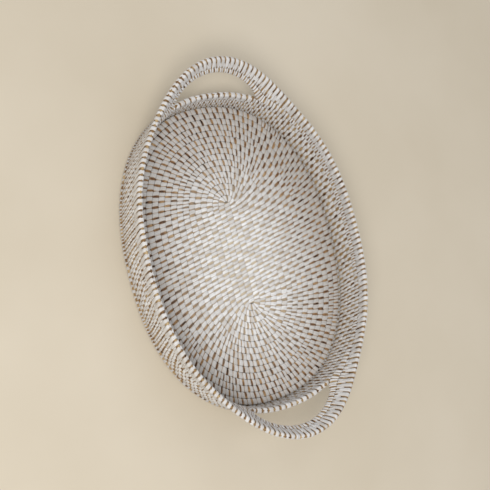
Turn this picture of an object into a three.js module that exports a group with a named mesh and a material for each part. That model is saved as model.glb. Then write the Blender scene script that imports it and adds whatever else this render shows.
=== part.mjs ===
// Oval serving tray of coiled and stitched rattan, with two loop handles.
// One cane is laid round and round a straight starter to make the flat base, then stands on edge
// round it to make the wall. The three topmost turns leave the wall at both ends of the oval and
// arch out over a finger gap as the handles. Each turn here is the cane with its wrapped binding on.
// Millimetres. X runs from handle to handle, Y across, Z up. The origin is on the surface that the
// tray rests on, under the middle of the base.
import * as THREE from 'three';

// --- driving dimensions -------------------------------------------------------------------------
const STARTER_HALF_LENGTH = 62;      // straight cane that the coil is laid round
const BASE_TURNS = 16;
const BASE_PITCH = 8.74;             // from turn to turn, measured across the tray
const BASE_TURN_HEIGHT = 7.6;

const WALL_TURNS = 5;                // full ovals, standing round the base, below the handle turns
const WALL_HALF_WIDTH = 148.2;       // lowest wall turn, to the middle of the cane
const WALL_HALF_LENGTH = 189.6;
const OVAL_EXPONENT = 2.27;          // a superellipse, slightly fuller than an ellipse (2)
const WALL_PITCH = 7.26;             // from turn to turn, measured straight up
const WALL_TURN_WIDTH = 6.4;
const WALL_TURN_HEIGHT = 6.8;
const LOWEST_TURN_LIFT = 0.1;        // the base, not the wall, rests on the table
const SIDE_LEAN = 1.5 * Math.PI / 180; // the wall leans out by this along the sides
const END_LEAN = 7.2 * Math.PI / 180;  // and by this at the ends

// The handle turns lie on the wall along the sides and arch away from it at both ends. root is how
// far from the tray's long axis an arch starts, out and up are its reach at the tip, and a large
// taper makes its shoulders slope.
const LOWER_ARCH = { root: 66, out: 24.8, up: 14, taper: 1 };
const TOP_ARCH = { root: 130, out: 31.5, up: 11.4, taper: 3 };
const ROOT_EASING = 0.12;            // how gently an arch begins
const HANDLE_NAMES = ['lower', 'middle', 'top'];
const HANDLE_TURN_RADIUS = 3.2;
const HANDLE_CORE_RADIUS = 2.4;

const GAP = 0.45;                    // clearance between neighbouring base turns
const SLEEVE_GAP = 0.3;              // clearance between a handle cane and its wrapped binding
const CHAMFER = 1.9;                 // rounds the long edges of a turn
const SPLICE_GAP = 0.0008;          // of a loop's length, where the two ends of a cane meet

const OVAL_STEPS = 28;               // straight bits in a level turn; a multiple of 4
const LOOP_STEPS = 60;               // and in a handle turn

// --- finishes -----------------------------------------------------------------------------------
const WHITEWASH = { color: 0xd8d5cc, roughness: 0.75, metalness: 0 };
const BARE_CANE = { color: 0x8f6a3e, roughness: 0.65, metalness: 0 };

// --- outlines -----------------------------------------------------------------------------------
const power = (value, exponent) => Math.sign(value) * Math.abs(value) ** exponent;

function superellipse(halfLength, halfWidth, exponent, angle) {
  return new THREE.Vector2(halfLength * power(Math.cos(angle), 2 / exponent),
    halfWidth * power(Math.sin(angle), 2 / exponent));
}

// The base coil grows from the straight starter into the oval of the wall. At this offset from the
// middle, the outline is that oval scaled down, cut at the middle and spread by what is left of
// the starter's length.
function baseOutline(offset) {
  const scale = offset / WALL_HALF_WIDTH;
  const spread = STARTER_HALF_LENGTH * (1 - scale);
  const points = [];
  for (let i = 0; i < OVAL_STEPS; i++) {
    const angle = 2 * Math.PI * i / OVAL_STEPS;
    const round = superellipse(WALL_HALF_LENGTH * scale, offset, OVAL_EXPONENT, angle);
    if (i % (OVAL_STEPS / 2) === OVAL_STEPS / 4) {
      const ahead = Math.sign(round.y) * spread;
      points.push(new THREE.Vector2(ahead, round.y), new THREE.Vector2(-ahead, round.y));
    } else {
      points.push(new THREE.Vector2(round.x + Math.sign(round.x) * spread, round.y));
    }
  }
  return points;
}

function ovalOutline(halfLength, halfWidth) {
  return Array.from({ length: OVAL_STEPS }, (_, i) =>
    superellipse(halfLength, halfWidth, OVAL_EXPONENT, 2 * Math.PI * i / OVAL_STEPS));
}

// Middle line of wall turn 1, 2, ... ; the handle turns carry on the count.
function wallTurn(number) {
  const climbed = WALL_PITCH * (number - 1);
  return {
    halfWidth: WALL_HALF_WIDTH + climbed * Math.tan(SIDE_LEAN),
    halfLength: WALL_HALF_LENGTH + climbed * Math.tan(END_LEAN),
    height: WALL_TURN_HEIGHT / 2 + LOWEST_TURN_LIFT + climbed,
  };
}

// --- solids -------------------------------------------------------------------------------------
// A flat turn lying level: a ring, or a plain plate where inner is missing, with chamfered edges.
function levelTurn(outer, inner, height) {
  const shape = new THREE.Shape(outer);
  if (inner) shape.holes.push(new THREE.Path(inner));
  const geometry = new THREE.ExtrudeGeometry(shape, {
    depth: height - 2 * CHAMFER, bevelEnabled: true, bevelThickness: CHAMFER,
    bevelSize: CHAMFER, bevelOffset: -CHAMFER, bevelSegments: 1,
  });
  return geometry.translate(0, 0, CHAMFER);
}

// Point of a handle turn at this angle round the tray: its place on the wall, moved out along the
// wall's plan normal and up, by how much of the arch has grown there.
function archPoint(turn, arch, angle) {
  const { halfLength, halfWidth, height } = wallTurn(turn);
  const plan = superellipse(halfLength, halfWidth, OVAL_EXPONENT, angle);
  const normal = new THREE.Vector2(
    power(plan.x / halfLength, OVAL_EXPONENT - 1) / halfLength,
    power(plan.y / halfWidth, OVAL_EXPONENT - 1) / halfWidth).normalize();
  const inside = 1 - (plan.y / arch.root) ** 2;
  const grown = ((inside + Math.hypot(inside, ROOT_EASING)) / 2) ** arch.taper;
  plan.addScaledVector(normal, arch.out * grown);
  return new THREE.Vector3(plan.x, plan.y, height + arch.up * grown);
}

// A handle turn goes once round the tray. The middle one runs halfway between the other two.
class HandleLoop extends THREE.Curve {
  constructor(share, start) {
    super();
    this.shareOfTop = share;
    this.start = start;
  }

  getPoint(along, target = new THREE.Vector3()) {
    const angle = this.start + 2 * Math.PI * (along * (1 - SPLICE_GAP) + SPLICE_GAP / 2);
    return target.lerpVectors(archPoint(WALL_TURNS + 1, LOWER_ARCH, angle),
      archPoint(WALL_TURNS + HANDLE_NAMES.length, TOP_ARCH, angle), this.shareOfTop);
  }
}

function polygon(radius, sides) {
  return Array.from({ length: sides }, (_, i) => {
    const angle = 2 * Math.PI * (i + 0.5) / sides;
    return new THREE.Vector2(radius * Math.cos(angle), radius * Math.sin(angle));
  });
}

function sweep(section, loop) {
  return new THREE.ExtrudeGeometry(section,
    { steps: LOOP_STEPS, bevelEnabled: false, extrudePath: loop });
}

function cane(loop) {
  return sweep(new THREE.Shape(polygon(HANDLE_CORE_RADIUS, 6)), loop);
}

function sleeve(loop) {
  const section = new THREE.Shape(polygon(HANDLE_TURN_RADIUS, 8));
  section.holes.push(new THREE.Path(polygon(HANDLE_CORE_RADIUS + SLEEVE_GAP, 6)));
  return sweep(section, loop);
}

// --- assembly -----------------------------------------------------------------------------------
function piece(name, geometry, finish, height = 0) {
  const mesh = new THREE.Mesh(geometry, new THREE.MeshStandardMaterial(finish));
  mesh.name = name;
  mesh.position.z = height;
  return mesh;
}

const twoDigits = (number) => String(number).padStart(2, '0');

const base = new THREE.Group();
const halfPitch = (BASE_PITCH - GAP) / 2;
base.add(piece('starter_cane', levelTurn(baseOutline(halfPitch), null, BASE_TURN_HEIGHT), WHITEWASH));
for (let turn = 1; turn <= BASE_TURNS; turn++) {
  const middle = turn * BASE_PITCH;
  base.add(piece(`base_turn_${twoDigits(turn)}`,
    levelTurn(baseOutline(middle + halfPitch), baseOutline(middle - halfPitch), BASE_TURN_HEIGHT),
    WHITEWASH));
}

const wall = new THREE.Group();
for (let turn = 1; turn <= WALL_TURNS; turn++) {
  const { halfLength, halfWidth, height } = wallTurn(turn);
  const half = WALL_TURN_WIDTH / 2;
  wall.add(piece(`wall_turn_${turn}`,
    levelTurn(ovalOutline(halfLength + half, halfWidth + half),
      ovalOutline(halfLength - half, halfWidth - half), WALL_TURN_HEIGHT),
    WHITEWASH, height - WALL_TURN_HEIGHT / 2));
}

// The ends of each cane meet on a long side of the tray, each loop's joint at a different place.
const handles = new THREE.Group();
const spliceAngles = [75, 255, 105].map(THREE.MathUtils.degToRad);
HANDLE_NAMES.forEach((name, i) => {
  const loop = new HandleLoop(i / (HANDLE_NAMES.length - 1), spliceAngles[i]);
  handles.add(piece(`handle_cane_${name}`, cane(loop), BARE_CANE));
  handles.add(piece(`handle_binding_${name}`, sleeve(loop), WHITEWASH));
});

const tray = new THREE.Group();
tray.add(base, wall, handles);

export default tray;
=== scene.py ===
"""Oval serving tray of coiled, whitewashed rattan with two loop handles, for Blender 4.5.

Each turn of the tray is a bare cane wrapped in flat binder strips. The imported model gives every
turn's size and place, and this script lays the cane and its strips along it. Lengths are metres.
"""
import math

import bpy
import numpy as np
from mathutils import Matrix, Vector


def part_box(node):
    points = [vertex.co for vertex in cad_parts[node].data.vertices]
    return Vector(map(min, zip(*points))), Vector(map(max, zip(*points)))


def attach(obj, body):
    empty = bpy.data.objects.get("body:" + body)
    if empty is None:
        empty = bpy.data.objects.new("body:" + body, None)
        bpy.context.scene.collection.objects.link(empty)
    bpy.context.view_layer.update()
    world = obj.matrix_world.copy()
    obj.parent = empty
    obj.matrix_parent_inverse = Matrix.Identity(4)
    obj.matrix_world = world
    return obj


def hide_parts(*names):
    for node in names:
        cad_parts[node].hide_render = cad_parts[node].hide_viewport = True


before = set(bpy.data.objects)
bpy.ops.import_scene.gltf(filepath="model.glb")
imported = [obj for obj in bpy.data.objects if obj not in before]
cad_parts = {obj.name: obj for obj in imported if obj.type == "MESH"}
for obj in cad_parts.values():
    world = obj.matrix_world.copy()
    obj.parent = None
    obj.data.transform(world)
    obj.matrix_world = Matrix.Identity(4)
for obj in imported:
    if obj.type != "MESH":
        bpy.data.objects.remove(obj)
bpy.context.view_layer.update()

MM = 0.001
DRAW = np.random.default_rng(18)

# --- the run of the turns -------------------------------------------------------------------------
OVAL_EXPONENT = 2.27           # a superellipse, slightly fuller than an ellipse (2)
STARTER_HALF_LENGTH = 62 * MM  # straight cane in the middle of the base
WALL_HALF_WIDTH = 148.2 * MM   # where the turns are full ovals, with no straight stretch left
BASE_TURNS = 16
BASE_TURN_WIDTH = 8.29 * MM
WALL_TURNS = 5
WALL_TURN_WIDTH = 6.4 * MM
HANDLE_RADIUS = 3.2 * MM
# root is how far from the tray's long axis an arch starts, and out is how far it arches out.
LOWER_ARCH = {"root": 66 * MM, "out": 24.8 * MM, "taper": 1}
TOP_ARCH = {"root": 130 * MM, "out": 31.5 * MM, "taper": 3}
ROOT_EASING = 0.12             # how softly an arch leaves the wall
SAMPLE = 0.8 * MM              # distance between the samples of a middle line
OVAL_STEPS = 3000

# --- the cane -------------------------------------------------------------------------------------
CANE_SIDES = 20
CANE_RING = 2.4 * MM           # from ring to ring of its points
FEWEST_CANE_RINGS = 40
CANE_SIDE_INSET = 0.3 * MM     # how far inside its binder the cane lies at a turn's borders
CANE_FACE_INSET = 1.1 * MM     # and how far in front and at the back

# --- the binder -----------------------------------------------------------------------------------
STRIP_THICKNESS = 1.0 * MM
STRIP_SHARE = 0.8              # of the room for a strip in the base, the rest is gap
WALL_STRIP_SHARE = 0.71        # the same on the wall and the handles
WHIP_SHARE = 0.74              # the same for the single wraps that whip the top of the handles
WHIP_WRAP = 6.8 * MM           # from wrap to wrap there
RIM_SHARE = 0.8                # and the same two for the rim where it passes under the handles
RIM_WRAP = 8.2 * MM
WAVE = 0.58 * MM               # two strips lean together by this where they cross a turn
FRONT_SLANT = math.tan(math.radians(12.5))
BACK_SLANT = math.tan(math.radians(16))
SHOULDER = 0.86                # of the way round to the side, where a crown turns into the side
VALLEY = 0.2                   # share of its depth that a crown drops by at a turn's border
FREE_EXPONENT = 2.2            # a free edge's section, slightly fuller than an ellipse (2)
SKEW = 0.03                    # spread of the slant from strip to strip
SWELL = 0.05                   # a strip is wider by this share where it crosses a turn
SINK = 0.25 * MM               # the tightest strips lie this much lower than the loosest
WRAP_LENGTH = 24 * MM          # of a strip, once round a turn
WRAP_STEPS = 30                # rings of points along a strip

FIRST_PAIR = 10.8 * MM         # from pair to pair on turn 1
WIDEST_BASE_PAIR = 16 * MM     # a wider place than this gets one more pair
WIDEST_WALL_PAIR = 15 * MM
WIDEST_HANDLE_PAIR = 11.5 * MM
USUAL_STRIP = 6.2 * MM         # room of a strip that leans by WAVE, and a wider one leans more
LEAN_LIMITS = (0.7, 1.2)       # least and most share of WAVE that a strip leans by
EVENING_ROUNDS = 3             # how often the pairs are spaced out
EVENING = 0.22                 # share of the way to the middle of its neighbours that a pair moves
PAIR_SPREAD = 0.14 * MM        # spread of the places of the strips in pairs
RIM_SPREAD = 0.2 * MM          # of the wraps on the free rim
WRAP_SPREAD = 0.25 * MM        # and of the wraps on the handles
WIDTH_SPREAD = 0.04            # spread of a strip's width, as a share of it
WRAP_WIDTH_SPREAD = 0.05       # the same for the wraps on the handles

RIM_LAP = 4 * MM               # the wraps of the free rim reach down over the turn below
RIM_PROUD = 0.4 * MM           # and stand out from it
WHIP_INNER_LAP = 5.5 * MM      # the same for the top of the handles
WHIP_OUTER_LAP = 9 * MM
WHIP_PROUD = 0.45 * MM


def signed_power(value, exponent):
    return np.sign(value) * np.abs(value) ** exponent


def unit(vectors):
    return vectors / np.linalg.norm(vectors, axis=-1, keepdims=True)


class Course:
    """The middle line of one turn, as even samples. It closes on itself unless told otherwise."""

    def __init__(self, points, closed=True):
        run = np.vstack([points, points[:1]]) if closed else points
        steps = np.linalg.norm(np.diff(run, axis=0), axis=1)
        reach = np.concatenate([[0], np.cumsum(steps)])
        self.closed = closed
        self.length = reach[-1]
        self.count = int(self.length / SAMPLE)
        even = np.linspace(0, self.length, self.count, endpoint=not closed)
        self.points = np.stack([np.interp(even, reach, run[:, axis]) for axis in range(3)], axis=1)
        if closed:
            ahead, behind = np.roll(self.points, -2, axis=0), np.roll(self.points, 2, axis=0)
            self.along = unit(ahead - behind)
        else:
            self.along = unit(np.gradient(self.points, axis=0))

    def at(self, values, distance):
        """Values given at the samples, read at these distances along the line."""
        if self.closed:
            place = np.mod(distance / self.length, 1) * self.count
        else:
            place = np.clip(distance / self.length, 0, 1) * (self.count - 1.001)
        low = np.floor(place).astype(int) % self.count
        share = place - np.floor(place)
        share = share.reshape(share.shape + (1,) * (values.ndim - 1))
        return values[low] * (1 - share) + values[(low + 1) % self.count] * share

    def nearest(self, points):
        """Index of the sample nearest to each point."""
        gap = ((points[:, None, :] - self.points[None, :, :]) ** 2).sum(axis=2)
        return gap.argmin(axis=1)

    def evened(self, values, reach):
        """Values at the samples, averaged over this distance each way."""
        wide = max(int(reach / SAMPLE), 1)
        parts = [np.roll(values, step, axis=0) for step in range(-wide, wide + 1)]
        return np.mean(parts, axis=0)


def oval(half_length, half_width, straight=0.0):
    """Outline of an oval, of which this much each way is a straight stretch."""
    angle = np.linspace(0, 2 * np.pi, OVAL_STEPS, endpoint=False)
    x = (half_length - straight) * signed_power(np.cos(angle), 2 / OVAL_EXPONENT)
    y = half_width * signed_power(np.sin(angle), 2 / OVAL_EXPONENT)
    return np.stack([x + np.sign(x) * straight, y], axis=1)


def base_course(turn):
    low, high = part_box(f"base_turn_{turn:02d}")
    half_width = high[1] - BASE_TURN_WIDTH / 2
    growth = (high[0] - STARTER_HALF_LENGTH) / high[1]
    straight = STARTER_HALF_LENGTH * (1 - half_width / WALL_HALF_WIDTH)
    plan = oval(STARTER_HALF_LENGTH + growth * half_width, half_width, straight)
    return Course(np.column_stack([plan, np.full(len(plan), (low[2] + high[2]) / 2)]))


def wall_course(turn):
    low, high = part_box(f"wall_turn_{turn}")
    half = WALL_TURN_WIDTH / 2
    plan = oval(high[0] - half, high[1] - half)
    return Course(np.column_stack([plan, np.full(len(plan), (low[2] + high[2]) / 2)]))


def arch_points(node, arch):
    """A handle turn: on the wall along the sides, and arching out and up at both ends."""
    low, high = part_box(node)
    half_length = high[0] - HANDLE_RADIUS - arch["out"]
    half_width = high[1] - HANDLE_RADIUS
    height = low[2] + HANDLE_RADIUS
    plan = oval(half_length, half_width)
    normal = unit(np.stack([
        signed_power(plan[:, 0] / half_length, OVAL_EXPONENT - 1) / half_length,
        signed_power(plan[:, 1] / half_width, OVAL_EXPONENT - 1) / half_width], axis=1))
    inside = 1 - (plan[:, 1] / arch["root"]) ** 2
    grown = ((inside + np.hypot(inside, ROOT_EASING)) / 2) ** arch["taper"]
    rise = high[2] - low[2] - 2 * HANDLE_RADIUS
    return np.column_stack([plan + normal * (arch["out"] * grown)[:, None], height + rise * grown])


lower_arch = arch_points("handle_binding_lower", LOWER_ARCH)
top_arch = arch_points("handle_binding_top", TOP_ARCH)


# --- one turn: cane and strips --------------------------------------------------------------------
class Turn:
    """A course with its cross directions and the room that its binder has on every side.

    across points to the next turn, and face to the side that the maker's hand works from: up in
    the base, inward on the wall. before and after are the reach to the turns on either side, and
    held_before and held_after are 1 where a neighbour is there and 0 at a free edge.
    """

    def __init__(self, course, across, before, after, depth):
        self.course = course
        self.across = unit(across - course.along * (across * course.along).sum(1, keepdims=True))
        self.face = np.cross(self.across, course.along)
        self.before, self.held_before = before
        self.after, self.held_after = after
        self.depth = np.full(course.count, depth)

    def section(self, turned, distance, side_inset=0.0, face_inset=0.0, laps=(0.0, 0.0)):
        """Places round the turn at these angles from the face: reach across, and reach out.

        Against a neighbour the section is a low crown with upright sides, and at a free edge it
        is round. laps carry it over the turn before, in front and at the back.
        """
        sine, cosine = np.sin(turned), np.cos(turned)
        at = self.course.at
        after_side = sine > 0
        held = np.where(after_side, at(self.held_after, distance), at(self.held_before, distance))
        room = np.where(after_side, at(self.after, distance), at(self.before, distance))
        depth = at(self.depth, distance) - face_inset
        crown = np.clip(sine / SHOULDER, -1, 1)
        flat = np.clip(cosine / math.sqrt(1 - SHOULDER ** 2), -1, 1)
        round_across = signed_power(sine, 2 / FREE_EXPONENT)
        round_out = signed_power(cosine, 2 / FREE_EXPONENT)
        on_crown = np.abs(sine) < SHOULDER
        dip = np.where(on_crown, 1 - VALLEY * np.abs(crown) ** 3, flat * (1 - VALLEY))
        held_out = np.sign(cosine) * np.abs(dip)
        lap = np.where(after_side, 0, np.where(cosine > 0, laps[0], laps[1]))
        reach_across = (held * crown + (1 - held) * round_across) * (room - side_inset + lap)
        reach_out = (held * held_out + (1 - held) * round_out) * depth
        return reach_across, reach_out

    def place(self, distance, reach_across, reach_out):
        """Points of the turn at these distances along it and reaches from its middle line."""
        at = self.course.at
        return (at(self.course.points, distance)
                + at(self.across, distance) * reach_across[..., None]
                + at(self.face, distance) * reach_out[..., None])


STRIP_SECTION = np.array([  # across a strip, in half widths, and depth below its crown, in metres
    (-1.0, 0.70 * MM), (-0.93, 0.36 * MM), (-0.55, 0.12 * MM), (0.0, 0.0), (0.55, 0.12 * MM),
    (0.93, 0.36 * MM), (1.0, 0.70 * MM), (0.88, STRIP_THICKNESS), (0.0, STRIP_THICKNESS),
    (-0.88, STRIP_THICKNESS)])


def mesh_piece(name, points, quads, material, attributes=(), fibre=None):
    """A smooth mesh from arrays of points and of faces with four corners."""
    mesh = bpy.data.meshes.new(name)
    mesh.vertices.add(len(points))
    mesh.vertices.foreach_set("co", points.ravel())
    mesh.loops.add(quads.size)
    mesh.loops.foreach_set("vertex_index", quads.ravel())
    mesh.polygons.add(len(quads))
    mesh.polygons.foreach_set("loop_start", np.arange(0, quads.size, 4))
    mesh.update(calc_edges=True)
    mesh.polygons.foreach_set("use_smooth", np.ones(len(quads), dtype=bool))
    for title, values in attributes:
        mesh.attributes.new(title, "FLOAT", "POINT").data.foreach_set("value", values)
    if fibre is not None:
        layer = mesh.uv_layers.new(name="fibre")
        layer.data.foreach_set("uv", fibre[quads.ravel()].ravel())
    mesh.materials.append(material)
    piece = bpy.data.objects.new(name, mesh)
    bpy.context.scene.collection.objects.link(piece)
    return piece


def end_caps(near, far):
    """Faces over the first and the last ring of points of a closed tube, or of many tubes."""
    sides = near.shape[1]
    pattern = np.array([(i, sides - 1 - i, sides - 2 - i, i + 1) for i in range(sides // 2 - 1)])
    return np.concatenate([near[:, pattern], far[:, pattern[:, ::-1]]]).reshape(-1, 4)


def wraps(turn, centres, widths, lean, laps, proud):
    """Points and faces of binder strips, each one wrap round the turn from its lower border.

    centres and widths are along the course, and lean moves each strip sideways where it crosses
    the front and the back. laps and proud are for strips that cover the turn before as well.
    """
    strips, steps, sides = len(centres), WRAP_STEPS, len(STRIP_SECTION)
    turned = np.linspace(-np.pi / 2, 3 * np.pi / 2, steps)[None, :]
    middle = centres[:, None] + 0 * turned
    laps = [lap[:, None] for lap in laps]
    across, out = turn.section(turned, middle, laps=laps)
    out = out + np.sign(out) * proud[:, None]
    way_across = np.gradient(out, axis=1)
    way_out = -np.gradient(across, axis=1)
    size = -np.hypot(way_across, way_out)
    pitch = turn.course.at(turn.before + turn.after, centres)[:, None]
    crossing = np.abs(np.cos(turned))
    front = np.cos(turned) > 0
    share = across / pitch
    slant = np.where(front, FRONT_SLANT * share, FRONT_SLANT / 2 + BACK_SLANT * (0.5 - share))
    skew = DRAW.normal(0, SKEW, strips)[:, None] * across
    sideways = pitch * slant + lean[:, None] * crossing + skew
    half = widths[:, None] / 2 * (1 + SWELL * crossing)
    spread = half[..., None] * STRIP_SECTION[None, None, :, 0]
    distance = (centres[:, None] + sideways)[..., None] + spread
    sink = DRAW.uniform(0, SINK, strips)[:, None, None]
    lift = -sink - STRIP_SECTION[None, None, :, 1] + 0 * spread
    points = turn.place(distance, across[..., None] + lift * (way_across / size)[..., None],
                        out[..., None] + lift * (way_out / size)[..., None])
    tone = np.repeat(DRAW.uniform(0, 1, strips), steps * sides)
    start = DRAW.uniform(0, 1, strips)[:, None, None]
    run = np.linspace(0, WRAP_LENGTH, steps)[None, :, None] + start
    fibre = np.stack([run + 0 * spread, spread], axis=-1).reshape(-1, 2)
    edge = np.tile(np.abs(STRIP_SECTION[:, 0]), strips * steps)
    index = np.arange(strips * steps * sides).reshape(strips, steps, sides)
    here, there = index[:, :-1], index[:, 1:]
    quads = np.stack([here, there, np.roll(there, -1, 2), np.roll(here, -1, 2)], axis=-1)
    quads = np.concatenate([quads.reshape(-1, 4), end_caps(index[:, -1], index[:, 0])])
    return points.reshape(-1, 3), quads, tone, edge, fibre


def cane(turn, side_inset, face_inset):
    """Points and faces of the bare cane inside a turn."""
    length = turn.course.length
    rings = max(int(length / CANE_RING), FEWEST_CANE_RINGS)
    distance = np.linspace(0, length, rings, endpoint=not turn.course.closed)[:, None]
    turned = np.linspace(0, 2 * np.pi, CANE_SIDES, endpoint=False)[None, :]
    spread = distance + 0 * turned
    points = turn.place(spread, *turn.section(turned, spread, side_inset, face_inset))
    index = np.arange(rings * CANE_SIDES).reshape(rings, CANE_SIDES)
    there = np.roll(index, -1, 0)
    quads = np.stack([index, np.roll(index, -1, 1), np.roll(there, -1, 1), there], axis=-1)
    if turn.course.closed:
        return points.reshape(-1, 3), quads.reshape(-1, 4)
    quads = np.concatenate([quads[:-1].reshape(-1, 4), end_caps(index[:1], index[-1:])])
    return points.reshape(-1, 3), quads


# --- weaving order --------------------------------------------------------------------------------
def even_pairs(course, spacing):
    """Places of pairs along a turn, evenly spaced from a quarter pair past the oval's tip."""
    count = round(course.length / spacing)
    return (np.arange(count) + 0.25) * course.length / count


def slit_axes(course, pairs):
    """Places midway between neighbouring pairs of strips."""
    ahead = np.roll(pairs, -1)
    ahead[-1] += course.length
    return (pairs + ahead) / 2


def carried_pairs(lower, upper, pairs, widest):
    """Pairs of the next turn: each straddles a slit of this one, and new ones fill wide places."""
    slits = lower.at(lower.points, slit_axes(lower, pairs))
    found = upper.nearest(slits) * upper.length / upper.count
    pitch = np.linalg.norm(slits - upper.points[upper.nearest(slits)], axis=1)
    places = np.sort(np.mod(found + pitch * FRONT_SLANT, upper.length))
    while True:
        gap = np.diff(np.append(places, places[0] + upper.length))
        wide = np.flatnonzero(gap > widest)
        if len(wide) == 0:
            break
        places = np.sort(np.mod(np.append(places, places[wide] + gap[wide] / 2), upper.length))
    for _ in range(EVENING_ROUNDS):
        ahead, behind = np.roll(places, -1), np.roll(places, 1)
        ahead[-1] += upper.length
        behind[0] -= upper.length
        places = places + EVENING * ((ahead + behind) / 2 - places)
    return places


def paired_strips(course, pairs, share):
    """Centre, width and lean of both strips of every pair, which fill this share of their room."""
    after = slit_axes(course, pairs)
    before = np.roll(after, 1)
    before[0] -= course.length
    room = np.concatenate([pairs - before, after - pairs])
    centres = np.concatenate([(pairs + before) / 2, (pairs + after) / 2])
    side = np.concatenate([np.ones(len(pairs)), -np.ones(len(pairs))])
    centres = centres + DRAW.normal(0, PAIR_SPREAD, len(centres))
    widths = room * share * DRAW.normal(1, WIDTH_SPREAD, len(room))
    return centres, widths, side * WAVE * np.clip(room / USUAL_STRIP, *LEAN_LIMITS)


def rim_strips(turn, pairs):
    """Paired strips where the handle turns lie on the rim, and wraps along its two free ends."""
    course = turn.course
    centres, widths, lean = paired_strips(course, pairs, WALL_STRIP_SHARE)
    free = course.at(turn.held_after, pairs) < 0.5
    kept = np.tile(~free, 2)
    parts = [(centres[kept], widths[kept], lean[kept])]
    after = slit_axes(course, pairs)
    borders = np.concatenate([after[free], np.roll(after, 1)[free]])
    for tip in (0, course.length / 2):
        reach = np.mod(borders - tip + course.length / 2, course.length) - course.length / 2
        reach = reach[np.abs(reach) < course.length / 4]
        start, end = reach.min(), reach.max()
        count = round((end - start) / RIM_WRAP)
        room = (end - start) / count
        places = tip + start + (np.arange(count) + 0.5) * room + DRAW.normal(0, RIM_SPREAD, count)
        wide = room * RIM_SHARE * DRAW.normal(1, WIDTH_SPREAD, count)
        parts.append((places, wide, np.zeros(count)))
    return tuple(np.concatenate(values) for values in zip(*parts))


def even_strips(course, spacing):
    """Centre, width and lean of single strips, evenly spaced."""
    count = round(course.length / spacing)
    centres = (np.arange(count) + 0.5) * course.length / count
    centres = centres + DRAW.normal(0, WRAP_SPREAD, count)
    widths = spacing * WHIP_SHARE * DRAW.normal(1, WRAP_WIDTH_SPREAD, count)
    return centres, widths, np.zeros(count)


# --- colour and nodes -----------------------------------------------------------------------------
def linear(hex_colour):
    """An sRGB hex colour as linear red, green, blue and full alpha."""
    parts = [int(hex_colour[i:i + 2], 16) / 255 for i in (1, 3, 5)]
    return [p / 12.92 if p <= 0.04045 else ((p + 0.055) / 1.055) ** 2.4 for p in parts] + [1.0]


def add(tree, kind, values=None, links=None, **settings):
    """A node with its settings, the values of its sockets and the sockets that feed it."""
    node = tree.nodes.new(kind)
    for name, value in settings.items():
        setattr(node, name, value)
    for socket, value in (values or {}).items():
        node.inputs[socket].default_value = value
    for socket, source in (links or {}).items():
        tree.links.new(source, node.inputs[socket])
    return node


def new_material(name):
    material = bpy.data.materials.new(name)
    material.use_nodes = True
    material.node_tree.nodes.clear()
    return material, material.node_tree


def finish_material(tree, shader):
    add(tree, "ShaderNodeOutputMaterial", links={"Surface": shader.outputs["BSDF"]})


def set_ramp(node, stops):
    """The colours of a colour ramp, each at its place."""
    ramp = node.color_ramp
    while len(ramp.elements) < len(stops):
        ramp.elements.new(0.5)
    for element, (place, colour) in zip(ramp.elements, stops):
        element.position = place
        element.color = linear(colour)


def away_from_middle(tree, near, far, at_near, at_far):
    """A value that changes from the middle of the base outward. near and far are 1 at the wall.

    The middle meant here lies about 15 mm towards the front handle.
    """
    place = add(tree, "ShaderNodeTexCoord")
    squeezed = add(tree, "ShaderNodeMapping",
                   {"Location": (-0.08, 0, 0),
                    "Scale": (1 / (182 * MM), 1 / (139 * MM), 1 / (250 * MM))},
                   {"Vector": place.outputs["Object"]})
    away = add(tree, "ShaderNodeVectorMath", links={0: squeezed.outputs["Vector"]},
               operation="LENGTH")
    changed = add(tree, "ShaderNodeMapRange",
                  {"From Min": near, "From Max": far, "To Min": at_near, "To Max": at_far},
                  {"Value": away.outputs["Value"]})
    return changed.outputs["Result"]


def up_the_wall(tree, low, high, at_low, at_high):
    """A value that changes with the height above the floor."""
    place = add(tree, "ShaderNodeTexCoord")
    parts = add(tree, "ShaderNodeSeparateXYZ", links={"Vector": place.outputs["Object"]})
    changed = add(tree, "ShaderNodeMapRange",
                  {"From Min": low, "From Max": high, "To Min": at_low, "To Max": at_high},
                  {"Value": parts.outputs["Z"]})
    return changed.outputs["Result"]


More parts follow.
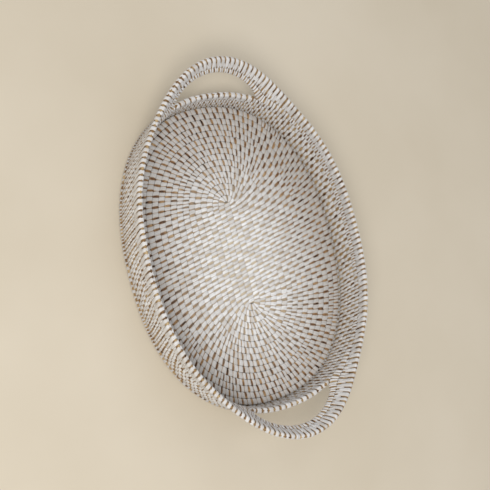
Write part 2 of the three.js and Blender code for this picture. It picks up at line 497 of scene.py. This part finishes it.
def whitewashed_rattan():
    """Split rattan peel, brushed with thin white lime paint and wiped back.

    The paint stays in the middle of a strip. Grey fibre lines show through it, and tan cane shows
    along the edges, where it is worn off. Matt, with a faint waxy sheen from the peel. Away from
    the middle of the base the paint is mixed toward grey, as painted shade.
    """
    material, tree = new_material("whitewashed_rattan_worn_back_and_painted_shade")
    tone = add(tree, "ShaderNodeAttribute", attribute_name="tone")
    edge = add(tree, "ShaderNodeAttribute", attribute_name="edge")
    fibre = add(tree, "ShaderNodeUVMap", uv_map="fibre")
    # Rattan fibre bundles are about 0.4 mm apart. They are drawn at 0.9 mm so that they show.
    stretched = add(tree, "ShaderNodeMapping", {"Scale": (1 / (9 * MM), 1 / (0.9 * MM), 1)},
                    {"Vector": fibre.outputs["UV"]})
    streaks = add(tree, "ShaderNodeTexNoise", {"Scale": 1.0, "Detail": 3.0, "Roughness": 0.6},
                  {"Vector": stretched.outputs["Vector"]})
    patches = add(tree, "ShaderNodeMapping", {"Scale": (1 / (4 * MM), 1 / (2.4 * MM), 1)},
                  {"Vector": fibre.outputs["UV"]})
    worn = add(tree, "ShaderNodeTexNoise", {"Scale": 1.0, "Detail": 2.0},
               {"Vector": patches.outputs["Vector"]})
    paint = add(tree, "ShaderNodeValToRGB", links={"Fac": tone.outputs["Fac"]})
    set_ramp(paint, [(0.0, "#E8E9EA"), (0.4, "#F3F4F4"), (0.75, "#E1E1E0"), (1.0, "#D5D2CE")])
    # Painted shade: away from the middle of the base the paint is mixed toward grey, less so up the
    # wall and on the handles, for the light on the middle of the base and the shade towards the
    # wall.
    painted_shade_amount = add(tree, "ShaderNodeMath", links={0: away_from_middle(tree, 0.35, 0.9, 0.0, 0.85),
                                                1: up_the_wall(tree, 8 * MM, 22 * MM, 1.0, 0.4)},
                 operation="MULTIPLY")
    # Painted shade: the grey that the paint is mixed toward away from the middle of the base.
    paint_with_painted_shade = add(tree, "ShaderNodeMix", {"B": linear("#B5B2AE")},
                  {"Factor": painted_shade_amount.outputs["Value"], "A": paint.outputs["Color"]},
                  data_type="RGBA")
    grey = add(tree, "ShaderNodeMapRange", {"From Min": 0.42, "From Max": 0.75, "To Max": 0.8},
               {"Value": streaks.outputs["Fac"]})
    painted = add(tree, "ShaderNodeMix", {"B": linear("#A9A5A0")},
                  {"Factor": grey.outputs["Result"], "A": paint_with_painted_shade.outputs["Result"]},
                  data_type="RGBA")
    rub = add(tree, "ShaderNodeMath", {1: 0.55}, {0: worn.outputs["Fac"]}, operation="MULTIPLY")
    bared = add(tree, "ShaderNodeMath", links={0: edge.outputs["Fac"], 1: rub.outputs["Value"]},
                operation="ADD")
    bared_range = add(tree, "ShaderNodeMapRange",
                      {"From Min": 0.95, "From Max": 1.3, "To Max": 0.85},
                      {"Value": bared.outputs["Value"]})
    colour = add(tree, "ShaderNodeMix", {"B": linear("#A98A63")},
                 {"Factor": bared_range.outputs["Result"], "A": painted.outputs["Result"]},
                 data_type="RGBA")
    relief = add(tree, "ShaderNodeBump", {"Strength": 0.35, "Distance": 0.25 * MM},
                 {"Height": streaks.outputs["Fac"]})
    shader = add(tree, "ShaderNodeBsdfPrincipled",
                 {"Roughness": 0.62, "IOR": 1.45, "Specular IOR Level": 0.35},
                 {"Base Color": colour.outputs["Result"], "Normal": relief.outputs["Normal"]})
    finish_material(tree, shader)
    return material


def bare_rattan(name, browns):
    """Peeled rattan cane, brown.

    It is mixed toward pale tan in the middle of the base and grows darker towards the wall. This is
    painted light on the middle of the base and painted shade towards the wall. It is dull, and its
    brown varies in blotches of about 10 mm.
    """
    material, tree = new_material(name)
    place = add(tree, "ShaderNodeTexCoord")
    stain = add(tree, "ShaderNodeTexNoise",
                {"Scale": 1 / (10.5 * MM), "Detail": 2.0, "Roughness": 0.55},
                {"Vector": place.outputs["Object"]})
    brown = add(tree, "ShaderNodeValToRGB", links={"Fac": stain.outputs["Fac"]})
    set_ramp(brown, browns)
    # Painted light and shade: pale tan in the middle of the base, the brown left towards the wall.
    colour = add(tree, "ShaderNodeMix", {"B": linear("#D2C5AC")},
                 {"Factor": away_from_middle(tree, 0.2, 0.8, 0.9, 0.0),
                  "A": brown.outputs["Color"]}, data_type="RGBA")
    relief = add(tree, "ShaderNodeBump", {"Strength": 0.3, "Distance": 0.3 * MM},
                 {"Height": stain.outputs["Fac"]})
    shader = add(tree, "ShaderNodeBsdfPrincipled",
                 {"Roughness": 0.7, "IOR": 1.45, "Specular IOR Level": 0.3},
                 {"Base Color": colour.outputs["Result"], "Normal": relief.outputs["Normal"]})
    finish_material(tree, shader)
    return material


def pale_plaster():
    """Matt lime plaster, trowelled by hand: nearly even, with faint cloudy patches."""
    material, tree = new_material("pale_lime_plaster")
    place = add(tree, "ShaderNodeTexCoord")
    clouds = add(tree, "ShaderNodeTexNoise", {"Scale": 1 / (330 * MM), "Detail": 4.0},
                 {"Vector": place.outputs["Object"]})
    colour = add(tree, "ShaderNodeValToRGB", links={"Fac": clouds.outputs["Fac"]})
    set_ramp(colour, [(0.3, "#CABFAA"), (0.7, "#D4CAB7")])
    # Trowel marks of about 1 mm, drawn at 6 mm so that they show.
    grains = add(tree, "ShaderNodeTexNoise", {"Scale": 1 / (6 * MM), "Detail": 3.0},
                 {"Vector": place.outputs["Object"]})
    relief = add(tree, "ShaderNodeBump", {"Strength": 0.08, "Distance": 0.5 * MM},
                 {"Height": grains.outputs["Fac"]})
    shader = add(tree, "ShaderNodeBsdfPrincipled", {"Roughness": 0.85, "IOR": 1.5},
                 {"Base Color": colour.outputs["Color"], "Normal": relief.outputs["Normal"]})
    finish_material(tree, shader)
    return material


binder_finish = whitewashed_rattan()
# Painted shade: a darker copy of the bare cane for the base, whose slits lie in shade.
base_cane_finish = bare_rattan(
    "bare_rattan_cane_base_painted_shade",
    [(0.3, "#33221A"), (0.42, "#62452F"), (0.55, "#8A6A49"), (0.7, "#B0926B")])
# Painted light: a lighter copy of the bare cane for the wall and handles, where the light falls
# strongly.
wall_cane_finish = bare_rattan(
    "bare_rattan_cane_wall_painted_light",
    [(0.3, "#4A341F"), (0.42, "#7C5F40"), (0.55, "#9C815A"), (0.7, "#BAA37D")])


# --- making the turns -----------------------------------------------------------------------------
def make_binder(name, turn, strips, nodes, laps=None, proud=None):
    """The strips of one turn as one piece, in place of these nodes."""
    centres, widths, lean = strips
    none = np.zeros(len(centres))
    points, quads, tone, edge, fibre = wraps(
        turn, centres, widths, lean, laps or (none, none), none if proud is None else proud)
    points[:, 2] = np.maximum(points[:, 2], 0)  # pressed flat where the tray stands
    piece = mesh_piece(name, points, quads, binder_finish, (("tone", tone), ("edge", edge)), fibre)
    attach(piece, "root")
    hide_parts(*nodes)
    return piece


def make_cane(name, turn, finish, nodes):
    """The cane of one turn, in place of these nodes."""
    points, quads = cane(turn, CANE_SIDE_INSET, CANE_FACE_INSET)
    points[:, 2] = np.maximum(points[:, 2], CANE_FACE_INSET)  # above the flattened strips
    piece = mesh_piece(name, points, quads, finish)
    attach(piece, "root")
    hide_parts(*nodes)
    return piece


UP = np.array([0.0, 0.0, 1.0])
OVERLAP = 0.1 * MM             # each of two neighbouring binders runs past their border by this
FREE_EDGE = 3.4 * MM           # reach of a turn from its middle line where it has no neighbour
NEAR_TURN = 6 * MM             # way to a neighbour from middle line to middle line: at the least,
HELD_TURN = 11 * MM            # up to where the two still touch,
FAR_TURN = 15 * MM             # and from where a turn is a free edge
REACH_EASING = 3 * MM          # reaches are averaged over this far each way along a turn
CROSS_EASING = 5 * MM          # and so are cross directions
BASE_DEPTH = 3.8 * MM          # from the middle line to the binder's face
WALL_DEPTH = 3.2 * MM
LAST_WALL_TURN = BASE_TURNS + WALL_TURNS - 1

base_courses = [base_course(turn) for turn in range(1, BASE_TURNS + 1)]
wall_courses = [wall_course(turn) for turn in range(1, WALL_TURNS + 1)]
handle_courses = [Course(lower_arch), Course((lower_arch + top_arch) / 2), Course(top_arch)]

courses = base_courses + wall_courses + handle_courses
names = [f"base_turn_{turn:02d}" for turn in range(1, BASE_TURNS + 1)] \
    + [f"wall_turn_{turn}" for turn in range(1, WALL_TURNS + 1)] \
    + [f"handle_binding_{place}" for place in ("lower", "middle", "top")]


def half_gap(course, other):
    """Half the way to the neighbour, or a free edge's reach where the neighbour is far off."""
    if other is None:
        return np.full(course.count, FREE_EDGE), np.zeros(course.count)
    way = np.linalg.norm(towards(course, other), axis=1)
    reach = np.interp(way, [NEAR_TURN, HELD_TURN, FAR_TURN],
                      [NEAR_TURN / 2, HELD_TURN / 2, FREE_EDGE])
    held = np.interp(way, [HELD_TURN, FAR_TURN], [1, 0])
    return course.evened(reach + OVERLAP, REACH_EASING), course.evened(held, REACH_EASING)


def towards(course, other):
    return other.points[other.nearest(course.points)] - course.points


def cross_direction(number, course, previous, following):
    """The way from turn to turn: level in the base, then up the wall and out over the handles."""
    if number < BASE_TURNS:
        return np.cross(course.along, UP)
    if number == LAST_WALL_TURN or following is None:
        return -towards(course, previous)
    if number == LAST_WALL_TURN + 1:
        return towards(course, following)
    return towards(course, following) - towards(course, previous)


turns = []
for number, course in enumerate(courses):
    previous = courses[number - 1] if number else None
    following = courses[number + 1] if number + 1 < len(courses) else None
    before, after = half_gap(course, previous), half_gap(course, following)
    if previous is None:  # the starter is the neighbour
        before = (np.full(course.count, course.points[:, 1].max() / 2 + OVERLAP),
                  np.ones(course.count))
    across = unit(cross_direction(number, course, previous, following))
    across = course.evened(across, CROSS_EASING)
    depth = BASE_DEPTH if number < BASE_TURNS else WALL_DEPTH
    turns.append(Turn(course, across, before, after, depth))


def widest_pair(number):
    if number < BASE_TURNS:
        return WIDEST_BASE_PAIR
    return WIDEST_WALL_PAIR if number <= LAST_WALL_TURN else WIDEST_HANDLE_PAIR


pairs = even_pairs(courses[0], FIRST_PAIR)
for number, (name, turn) in enumerate(zip(names, turns)):
    if number:
        pairs = carried_pairs(courses[number - 1], turn.course, pairs, widest_pair(number))
    laps, proud = None, None
    if number == LAST_WALL_TURN:
        strips = rim_strips(turn, pairs)
        free = 1 - turn.course.at(turn.held_after, strips[0])
        laps, proud = (free * RIM_LAP, free * RIM_LAP), free * RIM_PROUD
    elif turn is not turns[-1]:
        share = STRIP_SHARE if number < BASE_TURNS else WALL_STRIP_SHARE
        strips = paired_strips(turn.course, pairs, share)
    else:
        strips = even_strips(turn.course, WHIP_WRAP)
        laps = (np.full(len(strips[0]), WHIP_INNER_LAP), np.full(len(strips[0]), WHIP_OUTER_LAP))
        proud = np.full(len(strips[0]), WHIP_PROUD)
    make_binder(f"{name}_strips", turn, strips, [name], laps, proud)
    finish = base_cane_finish if number < BASE_TURNS else wall_cane_finish
    make_cane(f"{name}_cane", turn, finish, [name.replace("binding", "cane")])

# --- the starter ----------------------------------------------------------------------------------
STARTER_STRIPS = 24
STARTER_END = STARTER_HALF_LENGTH + 2 * MM  # the strips run up against turn 1

starter_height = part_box("starter_cane")[1][2] / 2
starter_line = Course(np.array([[-STARTER_END, 0, starter_height],
                                [STARTER_END, 0, starter_height]]), closed=False)
samples = starter_line.count
side = (np.full(samples, courses[0].points[:, 1].max() / 2 + OVERLAP), np.ones(samples))
starter = Turn(starter_line, np.tile([0.0, -1.0, 0.0], (samples, 1)), side, side, BASE_DEPTH)
room = starter_line.length / STARTER_STRIPS
centres = (np.arange(STARTER_STRIPS) + 0.5) * room
lean = np.where(np.arange(STARTER_STRIPS) % 2, -WAVE, WAVE)
make_binder("starter_strips", starter,
            (centres, np.full(STARTER_STRIPS, room * STRIP_SHARE), lean), ["starter_cane"])
make_cane("starter_bare_cane", starter, base_cane_finish, ["starter_cane"])

# --- floor, light and camera ----------------------------------------------------------------------
bpy.ops.mesh.primitive_plane_add(size=12)
floor = bpy.context.object
floor.name = "floor"
floor.data.materials.append(pale_plaster())


def soft_box(name, place, aim, size, power, colour):
    light = bpy.data.lights.new(name, "AREA")
    light.shape = "DISK"
    light.size = size
    light.energy = power
    light.color = linear(colour)[:3]
    lamp = bpy.data.objects.new(name, light)
    lamp.location = place
    lamp.rotation_euler = (Vector(aim) - Vector(place)).to_track_quat("-Z", "Y").to_euler()
    bpy.context.scene.collection.objects.link(lamp)


soft_box("key_light", (0.5, -1.2, 1.7), (0, 0, 0), 1.3, 29, "#FFFCF8")
soft_box("fill_light", (-1.2, 1.0, 1.8), (0, 0, 0), 2.0, 8, "#F1F3F8")

world = bpy.data.worlds.new("studio")
world.use_nodes = True
world.node_tree.nodes["Background"].inputs["Color"].default_value = linear("#F3F3F5")
world.node_tree.nodes["Background"].inputs["Strength"].default_value = 0.56
bpy.context.scene.world = world
bpy.context.scene.view_settings.view_transform = "Standard"

CAMERA_PLACE = Vector((0.0349, -0.5934, 0.9429))
CAMERA_AIM = Vector((-0.0074, 0.0101, 0.0076))
IMAGE_TOP = Vector((-0.9573, 0.2890, 0.0))  # floor direction that shows upright
LENS = 65.9                    # millimetres, as Blender takes it
SENSOR_WIDTH = 36.0
camera_data = bpy.data.cameras.new("camera")
camera_data.lens = LENS
camera_data.sensor_width = SENSOR_WIDTH
camera = bpy.data.objects.new("camera", camera_data)
bpy.context.scene.collection.objects.link(camera)
back = (CAMERA_PLACE - CAMERA_AIM).normalized()
right = IMAGE_TOP.cross(back).normalized()
top = back.cross(right)
turn_to_view = Matrix((right, top, back)).transposed().to_4x4()
camera.matrix_world = Matrix.Translation(CAMERA_PLACE) @ turn_to_view
bpy.context.scene.camera = camera
